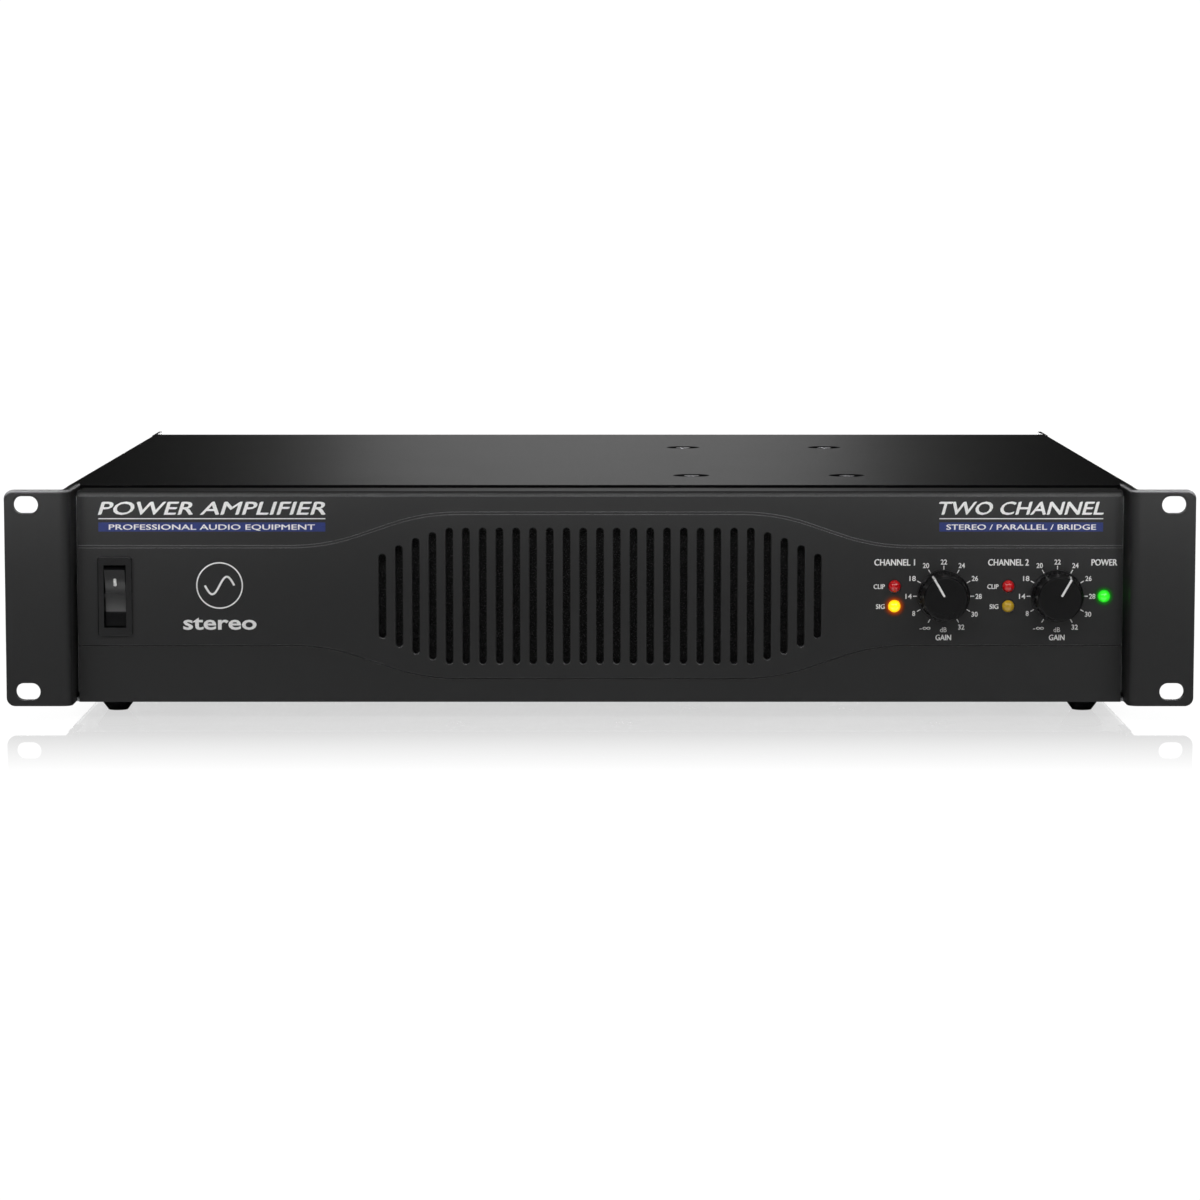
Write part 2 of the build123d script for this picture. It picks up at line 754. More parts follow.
with BuildPart() as fascia:
    with BuildSketch(front_plane(fascia_inside)):
        with Locations((0, (fascia_bottom + fascia_top) / 2)):
            Rectangle(2 * fascia_half, fascia_top - fascia_bottom)
    extrude(amount=fascia_wall)
    with BuildSketch(front_plane(fascia_face + fascia_return)):
        with Locations((0, fascia_top - fascia_wall / 2)):
            Rectangle(2 * fascia_half, fascia_wall)
    extrude(amount=fascia_return)
    top_front = fascia.edges().filter_by(Axis.X).group_by(Axis.Z)[-1].sort_by(Axis.Y)[0]
    fillet(top_front, fascia_edge_radius)
    # The raised band is straight at the ends and wider over the grille, with an S-curve between.
    with BuildSketch(moved(front_plane(fascia_face), 0, middle)) as band:
        with BuildLine():
            upper_right = Polyline(*band_corners, (0, band_half_middle))
            mirror(upper_right, about=Plane.YZ)
            Line(band_corners[0], (band_past_end, 0))
            Line((-band_past_end, band_half_end), (-band_past_end, 0))
            Line((-band_past_end, 0), (band_past_end, 0))
        make_face()
        mirror(about=Plane.XZ)
        curved = band.vertices().filter_by(lambda corner: 0 < abs(corner.X) < fascia_half)
        fillet(curved, band_corner_radius)
    extrude(amount=band_proud, taper=band_bevel)
    for side in (-1, 1):
        with BuildSketch(front_plane(fascia_face + fascia_return)):
            with Locations((side * (fascia_half + 4 * band_proud), middle)):
                Rectangle(8 * band_proud, 2 * panel_height)
        extrude(amount=fascia_return + 2 * band_proud, mode=Mode.SUBTRACT)
    # Grille: upright slots with round ends.
    with BuildSketch(front_plane(band_face)):
        for place in range(-grille_side_slots, grille_side_slots + 1):
            short = max(0, abs(place) - grille_full_slots)
            half_height = grille_half_height - short * grille_step - short * short * grille_step_growth
            with Locations((place * grille_pitch, middle)):
                SlotOverall(2 * half_height, grille_slot, rotation=90)
    extrude(amount=-2 * fascia_wall, mode=Mode.SUBTRACT)
    # Openings for the switch, the pots' shafts and the lights.
    with BuildSketch(front_plane(band_face)):
        with Locations((switch_x, middle)):
            Rectangle(switch_body_width + 2 * switch_fit, switch_body_height + 2 * switch_fit)
        with Locations(*[(x, middle) for x in knob_x]):
            Circle(shaft_hole_radius)
        with Locations(*[(x, z) for x in led_x for z in (clip_z, signal_z)], (power_led_x, middle)):
            Circle(led_radius + led_hole_gap)
    extrude(amount=-2 * fascia_wall, mode=Mode.SUBTRACT)

# ---------------------------------------------------------------- front plate
with BuildPart() as front_plate:
    with BuildSketch(front_plane(plate_inside)):
        with Locations((0, (dimple_top + fascia_top - fascia_wall - plate_gap) / 2)):
            Rectangle(2 * (ear_inside - sheet_gap), fascia_top - fascia_wall - plate_gap - dimple_top)
    extrude(amount=sheet)
    with BuildSketch(Plane.XY.offset(dimple_top)):
        with Locations((0, plate_face + plate_foot / 2)):
            Rectangle(2 * (ear_inside - sheet_gap), plate_foot)
        with Locations(*plate_screw_spots):
            Circle(screw_hole, mode=Mode.SUBTRACT)
    extrude(amount=sheet)
    for side in (-1, 1):
        with BuildSketch(side_plane(side * (ear_inside - sheet_gap), side)):
            with Locations((side * (plate_face + plate_side / 2), middle)):
                Rectangle(plate_side, panel_height - 2 * ear_tongue_inset)
            with Locations(*[(side * y, z) for y, z in wall_screws[:2]]):
                Circle(screw_hole, mode=Mode.SUBTRACT)
        extrude(amount=-sheet)
    with BuildSketch(front_plane(plate_face)):
        with Locations((0, middle)):
            RectangleRounded(2 * vent_half_width, 2 * vent_half_height, fold_radius)
        with Locations((switch_x, middle)):
            Rectangle(switch_body_width + 2 * switch_fit, switch_body_height + 2 * switch_fit)
        with Locations(*[(x, middle) for x in knob_x]):
            Circle(bush_radius + screw_gap)
        with Locations(*[(x, z) for x in led_x for z in (clip_z, signal_z)], (power_led_x, middle)):
            Circle(plate_led_hole_radius)
    extrude(amount=-sheet, mode=Mode.SUBTRACT)

# ---------------------------------------------------------------- foam filter
with BuildPart() as foam_filter:
    with BuildSketch(front_plane(plate_face - filter_gap)):
        with Locations((0, middle)):
            Rectangle(2 * filter_half_width, 2 * filter_half_height)
    extrude(amount=plate_face - fascia_inside - 2 * filter_gap)


# ---------------------------------------------------------------- rack ears
def rack_ear(side):
    """Ear with its rack slots, folded back into a tongue that is screwed inside the tray's wall."""
    outer = ear_inside + ear_sheet
    with BuildPart() as ear:
        with BuildSketch(Plane.XY.offset(floor)):
            with BuildLine():
                Polyline(
                    (side * ear_inside, ear_face),
                    (side * ear_half, ear_face),
                    (side * ear_half, ear_face + ear_sheet),
                    (side * outer, ear_face + ear_sheet),
                    (side * outer, ear_face + ear_tongue_behind),
                    (side * ear_inside, ear_face + ear_tongue_behind),
                    close=True,
                )
            make_face()
        extrude(amount=panel_height)
        upright = ear.edges().filter_by(Axis.Z)
        fold_outside = upright.sort_by_distance((side * ear_inside, ear_face, middle))[0]
        fold_inside = upright.sort_by_distance((side * outer, ear_face + ear_sheet, middle))[0]
        fillet(fold_outside, ear_fold)
        fillet(fold_inside, ear_fold - ear_sheet)
        tip_edges = ear.edges().filter_by(Axis.Y).filter_by(
            lambda edge: abs(abs(edge.center().X) - ear_half) < sheet_gap
        )
        fillet(tip_edges, ear_corner)
        # Inside the cover the tongue is lower.
        tongue_start = cover_front - ear_tongue_gap
        with BuildSketch(side_plane(side * ear_inside, side)):
            for edge in (floor, floor + panel_height):
                with Locations((side * (tongue_start + ear_tongue_behind / 2), edge)):
                    Rectangle(ear_tongue_behind, 2 * ear_tongue_inset)
        extrude(amount=ear_sheet, mode=Mode.SUBTRACT)
        with BuildSketch(front_plane(ear_face)):
            with Locations((side * hole_span / 2, floor + panel_height / 2)):
                with GridLocations(0, hole_rise, 1, 2):
                    SlotOverall(slot_length, slot_width)
        extrude(amount=-ear_sheet, mode=Mode.SUBTRACT)
        with BuildSketch(side_plane(side * outer, side)):
            with Locations(*[(side * y, z) for y, z in wall_screws[:2]]):
                Circle(screw_hole)
        extrude(amount=-ear_sheet, mode=Mode.SUBTRACT)
    return ear


rack_ear_left = rack_ear(-1)
rack_ear_right = rack_ear(1)


# ---------------------------------------------------------------- screws
def screw_set(planes):
    """Pan-head screws, one to a plane: the head stands on the plane and the shank goes in behind it."""
    with BuildPart() as screws:
        with BuildSketch(*planes):
            Circle(head_radius)
        extrude(amount=head_height, taper=15)
        with BuildSketch(*[plane.offset(head_height) for plane in planes]):
            Rectangle(cross_length, cross_width)
            Rectangle(cross_width, cross_length)
        extrude(amount=-cross_depth, mode=Mode.SUBTRACT)
        with BuildSketch(*planes):
            Circle(screw_radius)
        extrude(amount=-screw_length)
    return screws


screw_planes = [
    moved(side_plane(side * cover_half, side), side * y, z) for side in (-1, 1) for y, z in wall_screws
]
screw_planes += [
    moved(side_plane(side * (tray_half + rear_support_sheet), side), side * y, z)
    for side in (-1, 1)
    for y, z in support_screws
]
screw_planes += [moved(rear_plane(cover_rear), -x, lip_screw_z) for x in lip_screw_x]
screw_planes += [moved(rear_plane(panel_outside + guard_wire), -x, z) for x, z in fan_screw_spots]
screw_planes += [
    moved(rear_plane(panel_outside + inlet_flange), -inlet_x + side * inlet_screw_x, middle)
    for side in (-1, 1)
]
screw_planes += [moved(rear_plane(panel_outside + socket_flange), -x, z) for x, z in socket_screw_spots]
screw_planes += [Plane(origin=(x, y, cover_top - dimple_depth)) for x, y in sink_screw_spots]
screw_planes += [
    Plane(origin=(x, y, floor + dimple_depth), z_dir=(0, 0, -1))
    for x, y in sink_screw_spots + plate_screw_spots
]
screw_planes += [Plane(origin=(x, y, amp_board_z + board_thickness)) for x, y in standoff_spots]
case_screws = screw_set(screw_planes)

# ---------------------------------------------------------------- power switch
with BuildPart() as switch_housing:
    with BuildSketch(front_plane(band_face)):
        with Locations((switch_x, middle)):
            RectangleRounded(bezel_width, bezel_height, bezel_radius)
    extrude(amount=bezel_proud)
    bezel_rim = switch_housing.faces().sort_by(Axis.Y)[0].edges()
    fillet(bezel_rim, bezel_proud / 3)
    with BuildSketch(front_plane(switch_back)):
        with Locations((switch_x, middle)):
            Rectangle(switch_body_width, switch_body_height)
    extrude(amount=switch_back - band_face)
    with BuildSketch(front_plane(bezel_face)):
        with Locations((switch_x, middle)):
            Rectangle(switch_opening_width, switch_opening_height)
    extrude(amount=-switch_well, mode=Mode.SUBTRACT)
    with BuildSketch(side_plane(switch_x, 1)):
        with Locations((rocker_axis_y, middle)):
            Circle(pin_radius + running_gap)
    extrude(amount=rocker_half_width + pin_length + rocker_side_gap, both=True, mode=Mode.SUBTRACT)
    with BuildSketch(front_plane(switch_back)):
        with Locations((switch_x, middle)):
            with GridLocations(0, 2 * terminal_rise, 1, 2):
                Rectangle(terminal_width, terminal_thickness)
    extrude(amount=-terminal_length)

edge_out = rocker_radius * math.cos(math.radians(rocker_edge))
edge_up = rocker_radius * math.sin(math.radians(rocker_edge))

with BuildPart() as power_rocker:
    # Drawn about the pivot with +x out of the front, then tilted so that the upper half is pressed in.
    rocker_plane = Plane(
        origin=(switch_x, rocker_axis_y, middle),
        x_dir=(0, -math.cos(math.radians(rocker_tilt)), -math.sin(math.radians(rocker_tilt))),
        z_dir=(-1, 0, 0),
    )
    with BuildSketch(rocker_plane):
        with BuildLine():
            ThreePointArc((edge_out, -edge_up), (edge_out - rocker_dish, 0), (edge_out, edge_up))
            CenterArc((0, 0), rocker_radius, rocker_edge, 90 - rocker_edge)
            Polyline(
                (0, rocker_radius),
                (-rocker_back, rocker_radius / 3),
                (-rocker_back, -rocker_radius / 3),
                (0, -rocker_radius),
            )
            CenterArc((0, 0), rocker_radius, -90, 90 - rocker_edge)
        make_face()
    extrude(amount=rocker_half_width, both=True)
    with BuildSketch(rocker_plane):
        Circle(pin_radius)
    extrude(amount=rocker_half_width + pin_length, both=True)


# ---------------------------------------------------------------- gain controls
def gain_knob(x, angle):
    """Fluted knob with its pot shaft inside, pointing at an angle clockwise from straight up."""
    upright = front_plane(0)
    along = Plane(origin=(x, 0, middle), x_dir=(1, 0, 0), z_dir=(0, 0, 1))
    with BuildPart() as knob:
        with BuildSketch(along):
            with BuildLine():
                Polyline(
                    (0, knob_front),
                    (knob_face_radius - knob_edge, knob_front),
                    (knob_face_radius, knob_front + knob_edge),
                    (knob_grip_radius, knob_back - knob_skirt_height),
                    (knob_skirt_radius, knob_back - knob_skirt_height + knob_edge),
                    (knob_skirt_radius, knob_back),
                    (shaft_radius, knob_back),
                    (shaft_radius, knob_back - shaft_grip),
                    (0, knob_back - shaft_grip),
                    close=True,
                )
            make_face()
        revolve(axis=Axis((x, 0, middle), (0, 1, 0)))
        with BuildSketch(moved(upright.offset(-knob_front), x, middle)):
            with PolarLocations(knob_grip_radius, knob_flutes, start_angle=180 / knob_flutes):
                Circle(knob_flute_radius)
        extrude(amount=-(knob_back - knob_skirt_height - knob_front), mode=Mode.SUBTRACT)
        with BuildSketch(moved(upright.offset(-knob_front), x, middle)):
            with Locations(Rotation(0, 0, -angle)):
                with Locations((0, (pointer_start + knob_grip_radius) / 2)):
                    Rectangle(pointer_width, knob_grip_radius - pointer_start)
        extrude(amount=-pointer_depth, mode=Mode.SUBTRACT)
        with BuildSketch(moved(front_plane(knob_back - shaft_grip), x, middle)):
            Circle(shaft_radius)
        extrude(amount=-(pot_back - pot_depth / 2 - knob_back + shaft_grip))
    return knob


gain_knobs = [gain_knob(x, angle) for x, angle in zip(knob_x, pointer_angle)]

with BuildPart() as gain_pots:
    for x in knob_x:
        with BuildSketch(moved(front_plane(pot_back), x, middle)):
            Circle(pot_radius)
        extrude(amount=pot_depth)
        with BuildSketch(moved(front_plane(plate_inside), x, middle)):
            Circle(bush_radius)
        extrude(amount=sheet + bush_length)
        with BuildSketch(moved(front_plane(plate_face), x, middle)):
            RegularPolygon(nut_across / 2, 6, major_radius=False)
        extrude(amount=nut_thickness)
        with BuildSketch(moved(front_plane(plate_face - bush_length), x, middle)):
            Circle(shaft_radius + running_gap)
        extrude(amount=-(bush_length + sheet + pot_depth / 2 + running_gap), mode=Mode.SUBTRACT)
    with BuildSketch(front_plane(pot_back)):
        with Locations(*[(x, middle - pot_radius / 2) for x in knob_x]):
            with GridLocations(pot_leg_pitch, 0, 3, 1):
                Rectangle(pot_leg, pot_leg)
    extrude(amount=-2 * board_thickness)

led_spots = {
    "clip": [(x, clip_z) for x in led_x],
    "signal_1": [(led_x[0], signal_z)],
    "signal_2": [(led_x[1], signal_z)],
    "power": [(power_led_x, middle)],
}
led_back = fascia_inside + led_rim

with BuildPart() as control_board:
    with BuildSketch(front_plane(pot_back + board_thickness)):
        with Locations(((board_left + board_right) / 2, middle)):
            Rectangle(board_right - board_left, 2 * board_half_height)
        with Locations(*[(x, middle - pot_radius / 2) for x in knob_x]):
            with GridLocations(pot_leg_pitch, 0, 3, 1):
                Rectangle(pot_leg + screw_gap, pot_leg + screw_gap, mode=Mode.SUBTRACT)
    extrude(amount=board_thickness)


# ---------------------------------------------------------------- lights
def led(spots):
    """Domed lights with a rim behind the fascia, one at each x, z."""
    with BuildPart() as lights:
        for x, z in spots:
            with BuildSketch(Plane(origin=(x, 0, z), x_dir=(1, 0, 0), z_dir=(0, 0, 1))):
                with BuildLine():
                    dome_start = band_face - led_proud + led_radius
                    Line((0, led_back), (led_rim_radius, led_back))
                    Polyline((led_rim_radius, led_back), (led_rim_radius, fascia_inside),
                             (led_radius, fascia_inside), (led_radius, dome_start))
                    CenterArc((0, dome_start), led_radius, 0, -90)
                    Line((0, dome_start - led_radius), (0, led_back))
                make_face()
            revolve(axis=Axis((x, 0, z), (0, 1, 0)))
    return lights


clip_leds = led(led_spots["clip"])
signal_led_1 = led(led_spots["signal_1"])
signal_led_2 = led(led_spots["signal_2"])
power_led = led(led_spots["power"])

with BuildPart() as led_leads:
    with BuildSketch(front_plane(pot_back)):
        for spots in led_spots.values():
            with Locations(*spots):
                with GridLocations(lead_pitch, 0, 2, 1):
                    Rectangle(lead_width, lead_width)
    extrude(amount=pot_back - led_back)

# ---------------------------------------------------------------- heat sinks
with BuildPart() as heat_sinks:
    fin_pitch = (sink_height - fin_thickness) / (fin_count - 1)
    with BuildSketch(front_plane(sink_rear)):
        for x, side in zip(sink_x, sink_side):
            with Locations((x, dimple_top + sink_height / 2)):
                Rectangle(sink_base, sink_height)
            fin_middle = x - side * (sink_base / 2 + fin_length / 2)
            with Locations((fin_middle, dimple_top + sink_height / 2)):
                with GridLocations(0, fin_pitch, 1, fin_count):
                    Rectangle(fin_length, fin_thickness)
    extrude(amount=sink_length)
    for base in (dimple_top, dimple_roof - screw_length):
        with BuildSketch(Plane.XY.offset(base)):
            with Locations(*sink_screw_spots):
                Circle(screw_hole)
        extrude(amount=screw_length, mode=Mode.SUBTRACT)

transistor_pitch = sink_length / transistor_count
transistor_z = middle + transistor_height / 2

with BuildPart() as power_transistors:
    for face, side in zip(sink_outer, sink_side):
        with BuildSketch(side_plane(face, side)):
            with Locations((side * (sink_front + sink_length / 2), transistor_z)):
                with GridLocations(transistor_pitch, 0, transistor_count, 1):
                    RectangleRounded(transistor_width, transistor_height, 1)
        extrude(amount=transistor_thickness)
    for x, side in zip(sink_outer, sink_side):
        leg_x = x + side * transistor_thickness / 2
        with BuildSketch(Plane.XY.offset(amp_board_z)):
            with Locations((leg_x, sink_front + sink_length / 2)):
                with GridLocations(0, transistor_pitch, 1, transistor_count):
                    with GridLocations(0, transistor_leg_pitch, 1, 3):
                        Rectangle(transistor_leg_width / 2, transistor_leg_width)
        extrude(amount=transistor_z - transistor_height / 2 - amp_board_z)

with BuildPart() as amplifier_boards:
    with BuildSketch(Plane.XY.offset(amp_board_z)):
        with Locations(*[(x, amp_board_y) for x in amp_board_x]):
            Rectangle(amp_board_width, amp_board_length)
        with Locations(*standoff_spots):
            Circle(screw_hole, mode=Mode.SUBTRACT)
    extrude(amount=board_thickness)

board_top = amp_board_z + board_thickness
capacitor_pitch = amp_board_length / (capacitors_per_board + 1)

with BuildPart() as filter_capacitors:
    with BuildSketch(Plane.XY.offset(board_top)):
        with Locations(*[(x, amp_board_y + capacitor_pitch / 2) for x in amp_board_x]):
            with GridLocations(0, capacitor_pitch, 1, capacitors_per_board):
                Circle(capacitor_radius)
    extrude(amount=capacitor_height)
    fillet(filter_capacitors.faces().group_by(Axis.Z)[-1].edges(), capacitor_edge)

with BuildPart() as bridge_rectifier:
    with BuildSketch(Plane.XY.offset(board_top)):
        with Locations((amp_board_x[0], amp_board_front + capacitor_pitch / 2)):
            RectangleRounded(rectifier_size, rectifier_size, 2)
            Circle(screw_hole, mode=Mode.SUBTRACT)
    extrude(amount=rectifier_height)

# ---------------------------------------------------------------- transformer
with BuildPart() as transformer:
    with BuildSketch(Plane(origin=(toroid_x, toroid_y, 0), x_dir=(1, 0, 0), z_dir=(0, -1, 0))):
        with Locations(((toroid_hole_radius + toroid_radius) / 2, floor_top + toroid_height / 2)):
            RectangleRounded(toroid_radius - toroid_hole_radius, toroid_height, toroid_round)
    revolve(axis=Axis((toroid_x, toroid_y, 0), (0, 0, 1)))

nut_base = clamp_base - clamp_dish + clamp_thickness
with BuildPart() as transformer_clamp:
    with BuildSketch(Plane.XY.offset(clamp_base)):
        with Locations((toroid_x, toroid_y)):
            Circle(clamp_radius)
    extrude(amount=clamp_thickness)
    with BuildSketch(Plane.XY.offset(clamp_base)):
        with Locations((toroid_x, toroid_y)):
            Circle(toroid_hole_radius - clamp_thickness)
    extrude(amount=-clamp_dish, taper=30)
    with BuildSketch(Plane.XY.offset(clamp_base + clamp_thickness)):
        with Locations((toroid_x, toroid_y)):
            Circle(toroid_hole_radius - 2 * clamp_thickness)
    extrude(amount=-clamp_dish, taper=30, mode=Mode.SUBTRACT)
    with BuildSketch(Plane.XY.offset(clamp_base + clamp_thickness)):
        with Locations((toroid_x, toroid_y)):
            Circle(bolt_radius + screw_gap)
    extrude(amount=-3 * clamp_dish, mode=Mode.SUBTRACT)

bolt_head_top = floor + bolt_head_height
with BuildPart() as transformer_bolt:
    with BuildSketch(Plane.XY.offset(bolt_head_top)):
        with Locations((toroid_x, toroid_y)):
            RegularPolygon(bolt_head_across / 2, 6, major_radius=False)
    extrude(amount=-bolt_head_height)
    with BuildSketch(Plane.XY.offset(bolt_head_top)):
        with Locations((toroid_x, toroid_y)):
            Circle(bolt_radius)
    extrude(amount=nut_base + 2 * bolt_head_height - bolt_head_top)
    with BuildSketch(Plane.XY.offset(clamp_base + clamp_thickness - clamp_dish)):
        with Locations((toroid_x, toroid_y)):
            RegularPolygon(bolt_head_across / 2, 6, major_radius=False)
            Circle(bolt_radius, mode=Mode.SUBTRACT)
    extrude(amount=bolt_head_height)

# ---------------------------------------------------------------- fan
rotor_rear = panel_inside - rotor_gap
rotor_front = rotor_rear - rotor_depth
boss_rear = fan_front + strut_depth

with BuildPart() as fan_frame:
    with BuildSketch(front_plane(panel_inside)):
        with Locations((fan_x, middle)):
            RectangleRounded(fan_size, fan_size, fan_corner)
            Circle(fan_bore_radius, mode=Mode.SUBTRACT)
    extrude(amount=fan_depth)
    with BuildSketch(front_plane(panel_inside)):
        with Locations(*fan_screw_spots):
            Circle(screw_hole)
    extrude(amount=fan_depth, mode=Mode.SUBTRACT)
    with BuildSketch(front_plane(boss_rear)):
        with Locations((fan_x, middle)):
            Circle(fan_boss_radius)
            with Locations(Rotation(0, 0, 45)):
                Rectangle(2 * fan_bore_radius + 1, strut_width)
                Rectangle(strut_width, 2 * fan_bore_radius + 1)
    extrude(amount=strut_depth)
    with BuildSketch(front_plane(boss_rear)):
        with Locations((fan_x, middle)):
            Circle(fan_shaft_radius + running_gap)
    extrude(amount=strut_depth, mode=Mode.SUBTRACT)

with BuildPart() as fan_rotor:
    with BuildSketch(moved(front_plane(rotor_rear), fan_x, middle)):
        Circle(hub_radius)
    extrude(amount=rotor_depth)
    fillet(fan_rotor.faces().sort_by(Axis.Y)[-1].edges(), 2)
    with BuildSketch(moved(front_plane(rotor_front), fan_x, middle)):
        Circle(fan_shaft_radius)
    extrude(amount=rotor_front - fan_front)
    # Each blade is a flat plate from inside the hub, turned to its pitch about its own radius.
    blade_width = (rotor_depth - 2 * blade_thickness) / math.cos(math.radians(blade_pitch))
    for blade in range(blade_count):
        turn = math.radians(blade * 360 / blade_count)
        outward = Vector(math.cos(turn), 0, math.sin(turn))
        around = Vector(-math.sin(turn), 0, math.cos(turn))
        pitch = math.radians(blade_pitch)
        normal = around * math.cos(pitch) + Vector(0, 1, 0) * math.sin(pitch)
        centre = Vector(fan_x, (rotor_front + rotor_rear) / 2, middle)
        root = hub_radius - blade_root
        half_way = centre + outward * (root + rotor_radius) / 2
        blade_plane = Plane(origin=half_way, x_dir=outward, z_dir=normal)
        with BuildSketch(blade_plane):
            Rectangle(rotor_radius - root, blade_width)
        extrude(amount=blade_thickness / 2, both=True)
    with BuildSketch(moved(front_plane(rotor_rear), fan_x, middle)):
        Circle(rotor_radius)
    extrude(amount=rotor_depth + rotor_front - fan_front, mode=Mode.INTERSECT)

guard_y = panel_outside + guard_spoke_wire / 2
with BuildPart() as fan_guard:
    for ring in guard_rings:
        with BuildSketch(Plane(origin=(fan_x, 0, middle), x_dir=(1, 0, 0), z_dir=(0, 0, 1))):
            with Locations((ring, guard_y)):
                Circle(guard_wire / 2)
        revolve(axis=Axis((fan_x, 0, middle), (0, 1, 0)))
    spoke = fan_hole_pitch / math.sqrt(2) - (guard_eyelet_radius + head_radius) / 2
    for quarter in range(4):
        turn = math.radians(45 + 90 * quarter)
        outward = Vector(math.cos(turn), 0, math.sin(turn))
        start = Vector(fan_x, guard_y, middle) + outward * guard_rings[0]
        with BuildSketch(Plane(origin=start, x_dir=(0, 1, 0), z_dir=outward)):
            Circle(guard_spoke_wire / 2)
        extrude(amount=spoke - guard_rings[0])
    with BuildSketch(rear_plane(panel_outside)):
        with Locations(*[(-x, z) for x, z in fan_screw_spots]):
            Circle(guard_eyelet_radius)
    extrude(amount=guard_wire)
    with BuildSketch(rear_plane(panel_outside)):
        with Locations(*[(-x, z) for x, z in fan_screw_spots]):
            Circle(screw_hole)
    extrude(amount=guard_wire, mode=Mode.SUBTRACT)



def flange_screws():
    """Screw holes at two corners of a socket's flange, in a sketch that looks out of the rear."""
    with Locations(*[(-side * socket_screw_x, side * socket_screw_rise) for side in (-1, 1)]):
        Circle(screw_hole)


# ---------------------------------------------------------------- input sockets
socket_face = panel_outside + socket_flange
with BuildPart() as input_sockets:
    for z in row_heights:
        here = moved(rear_plane(panel_outside), -socket_x, z)
        with BuildSketch(here):
            RectangleRounded(socket_flange_width, socket_flange_height, socket_corner)
        extrude(amount=socket_flange)
        with BuildSketch(here):
            Circle(socket_barrel_radius)
        extrude(amount=-(socket_barrel_depth - socket_flange))
        with BuildSketch(here.offset(socket_flange)):
            Circle(socket_mouth_radius)
        extrude(amount=-socket_mouth_depth, mode=Mode.SUBTRACT)
        with BuildSketch(here.offset(socket_flange - socket_mouth_depth)):
            Circle(socket_core_radius)
        extrude(amount=socket_mouth_depth - socket_core_set_back)
        with BuildSketch(here.offset(socket_flange - socket_core_set_back)):
            with PolarLocations(contact_circle, 3, start_angle=-90):
                Circle(contact_radius)
        extrude(amount=-contact_depth, mode=Mode.SUBTRACT)
        with BuildSketch(here.offset(socket_flange)):
            with Locations((0, latch_rise)):
                Rectangle(latch_width + 2 * latch_gap, latch_height + 2 * latch_gap)
            flange_screws()
        extrude(amount=-socket_flange, mode=Mode.SUBTRACT)


def input_latch(z):
    """Release button of an input socket, in the notch at the top of its flange."""
    with BuildPart() as latch:
        with BuildSketch(moved(rear_plane(socket_face + latch_proud), -socket_x, z + latch_rise)):
            Rectangle(latch_width, latch_height)
        extrude(amount=-(latch_proud + latch_depth))
        fillet(latch.faces().sort_by(Axis.Y)[-1].edges(), latch_proud / 4)
    return latch


input_latches = [input_latch(z) for z in row_heights]

with BuildPart() as jack_sockets:
    for z in row_heights:
        here = moved(rear_plane(panel_inside), -jack_x, z)
        with BuildSketch(here):
            Rectangle(jack_body, jack_body)
        extrude(amount=-jack_depth)
        with BuildSketch(here):
            Circle(jack_bush_radius)
        extrude(amount=sheet + jack_bush_proud)
        with BuildSketch(here.offset(sheet)):
            Circle(jack_nut_radius)
        extrude(amount=jack_nut_thickness)
        with BuildSketch(here.offset(sheet + jack_bush_proud)):
            Circle(jack_bore_radius)
        extrude(amount=-(jack_bore_depth + sheet), mode=Mode.SUBTRACT)

input_board_face = panel_inside - jack_depth
with BuildPart() as input_board:
    with BuildSketch(rear_plane(input_board_face)):
        with Locations((-(input_board_left + input_board_right) / 2, middle)):
            Rectangle(input_board_right - input_board_left, 2 * input_board_half_height)
    extrude(amount=-board_thickness)

# ---------------------------------------------------------------- small slide switches
dip_half_height = dip_count * dip_pitch / 2 + dip_lip
dip_face = panel_outside + dip_proud
dip_depth = dip_face - input_board_face
dip_heights = [middle + (place - (dip_count - 1) / 2) * dip_pitch for place in range(dip_count)]
with BuildPart() as dip_switch_block:
    with BuildSketch(rear_plane(dip_face)):
        with Locations((-dip_x, middle)):
            Rectangle(dip_width, 2 * dip_half_height)
    extrude(amount=-dip_depth)
    with BuildSketch(rear_plane(dip_face)):
        with Locations(*[(-dip_x, z) for z in dip_heights]):
            Rectangle(lever_size + lever_travel + 2 * lever_gap, lever_size + 2 * lever_gap)
    extrude(amount=-(lever_depth + lever_gap), mode=Mode.SUBTRACT)


def dip_lever(z):
    """One slide lever, at the right-hand end of its slot."""
    with BuildPart() as lever:
        with BuildSketch(rear_plane(dip_face + lever_proud)):
            with Locations((-dip_x - lever_travel / 2, z)):
                Rectangle(lever_size, lever_size)
        extrude(amount=-(lever_proud + lever_depth))
    return lever


levers = [dip_lever(z) for z in dip_heights]

